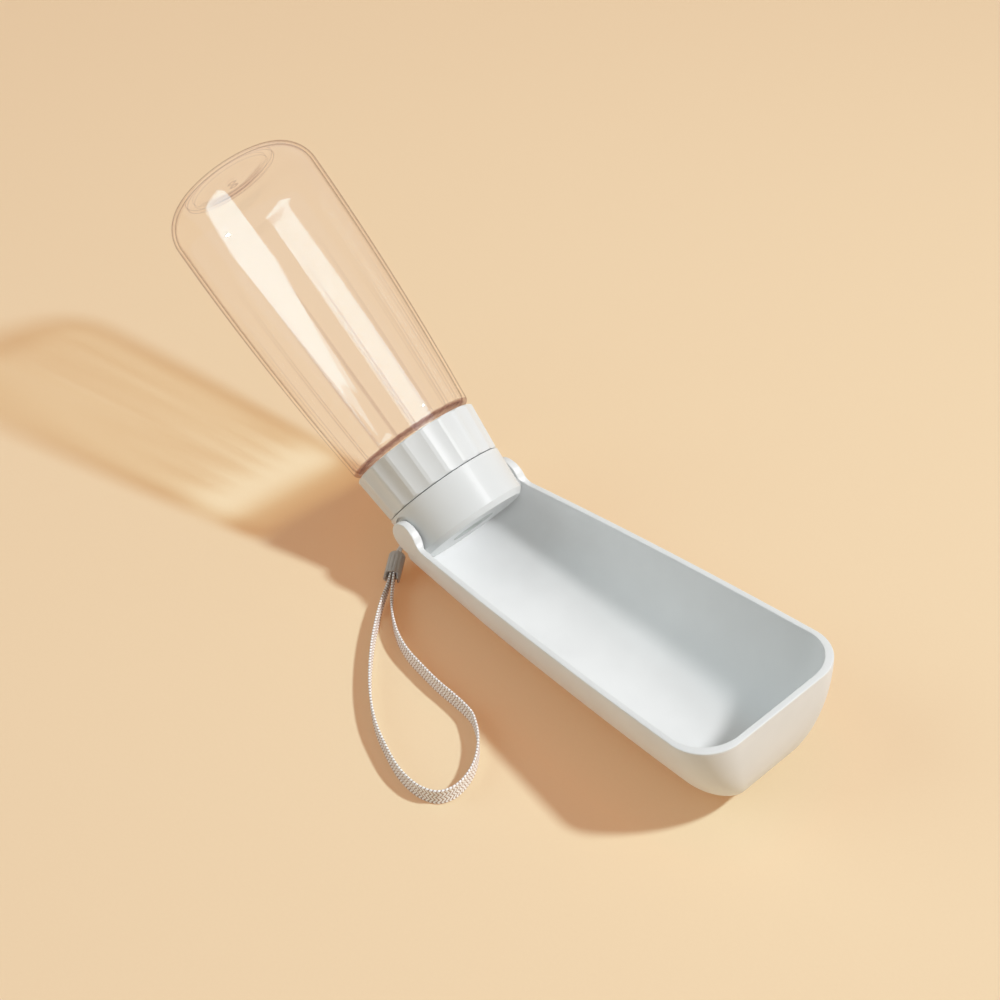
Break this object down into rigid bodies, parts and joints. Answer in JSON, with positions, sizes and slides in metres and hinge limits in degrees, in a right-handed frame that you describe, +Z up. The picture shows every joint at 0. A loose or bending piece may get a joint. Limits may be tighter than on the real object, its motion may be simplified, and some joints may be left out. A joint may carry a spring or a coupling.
{
  "type": "pet travel water bottle",
  "caption": "Clear bottle in a turning collar and head, hinged on a long trough that folds over it, with a wrist strap.",
  "frame": {"origin": "centre of the bounding box of the rigid parts on the floor, with the trough open and resting on its flat foot", "axes": "+X runs along the trough from the hinge to its far end, Y is parallel to the hinge axis with +Y on the side away from the strap, +Z is up"},
  "size_m": [0.3726, 0.1538, 0.1648],
  "materials": {
    "trough_plastic": "satin",
    "head_plastic": "gloss",
    "inner_plastic": "satin",
    "bush_plastic": "satin",
    "clear_plastic": "clear and glossy",
    "pin_steel": "brushed",
    "seal_rubber": "matte",
    "sleeve_rubber": "matte, ribbed",
    "cord": "braided",
    "tape": "woven herringbone"
  },
  "bodies": {
    "trough": {"trough_shell": "trough_plastic", "hinge_pin_near": "pin_steel", "hinge_pin_far": "pin_steel", "strap_cord": "cord", "strap_sleeve": "sleeve_rubber", "strap_crimp": "pin_steel", "strap_tape": "tape"},
    "head": {"head_shell": "head_plastic", "hinge_bush_near": "bush_plastic", "hinge_bush_far": "bush_plastic", "hinge_washer_near": "seal_rubber", "hinge_washer_far": "seal_rubber", "outlet_plate": "inner_plastic", "valve_chamber": "inner_plastic", "stem_guide": "inner_plastic", "neck_socket": "inner_plastic", "socket_screws": "pin_steel", "socket_oring": "seal_rubber", "neck_gasket": "seal_rubber", "retaining_ring": "bush_plastic"},
    "valve": {"valve_plug": "inner_plastic", "valve_seal": "seal_rubber"},
    "collar": {"collar": "head_plastic", "collar_liner": "inner_plastic"},
    "bottle": {"bottle": "clear_plastic"}
  },
  "joints": [
    {"name": "fold", "type": "hinge", "parent": "trough", "child": "head", "pos_m": [-0.01041, 0, 0.03285], "axis": [0, 1, 0], "range_deg": [0, 140]},
    {"name": "collar_turn", "type": "hinge", "parent": "head", "child": "collar", "pos_m": [-0.0305, 0, 0.04599], "axis": [-0.8368, 0, 0.5476], "range_deg": [0, 90]},
    {"name": "valve_lift", "type": "slide", "parent": "head", "child": "valve", "axis": [-0.8368, 0, 0.5476], "range_m": [0, 0.003]},
    {"name": "bottle_unscrew", "type": "hinge", "parent": "collar", "child": "bottle", "pos_m": [-0.03552, 0, 0.04927], "axis": [-0.8368, 0, 0.5476], "continuous": true}
  ],
  "couplings": [
    {"joint": "valve_lift", "follows": "collar_turn", "m_per_rad": 0.0019}
  ]
}
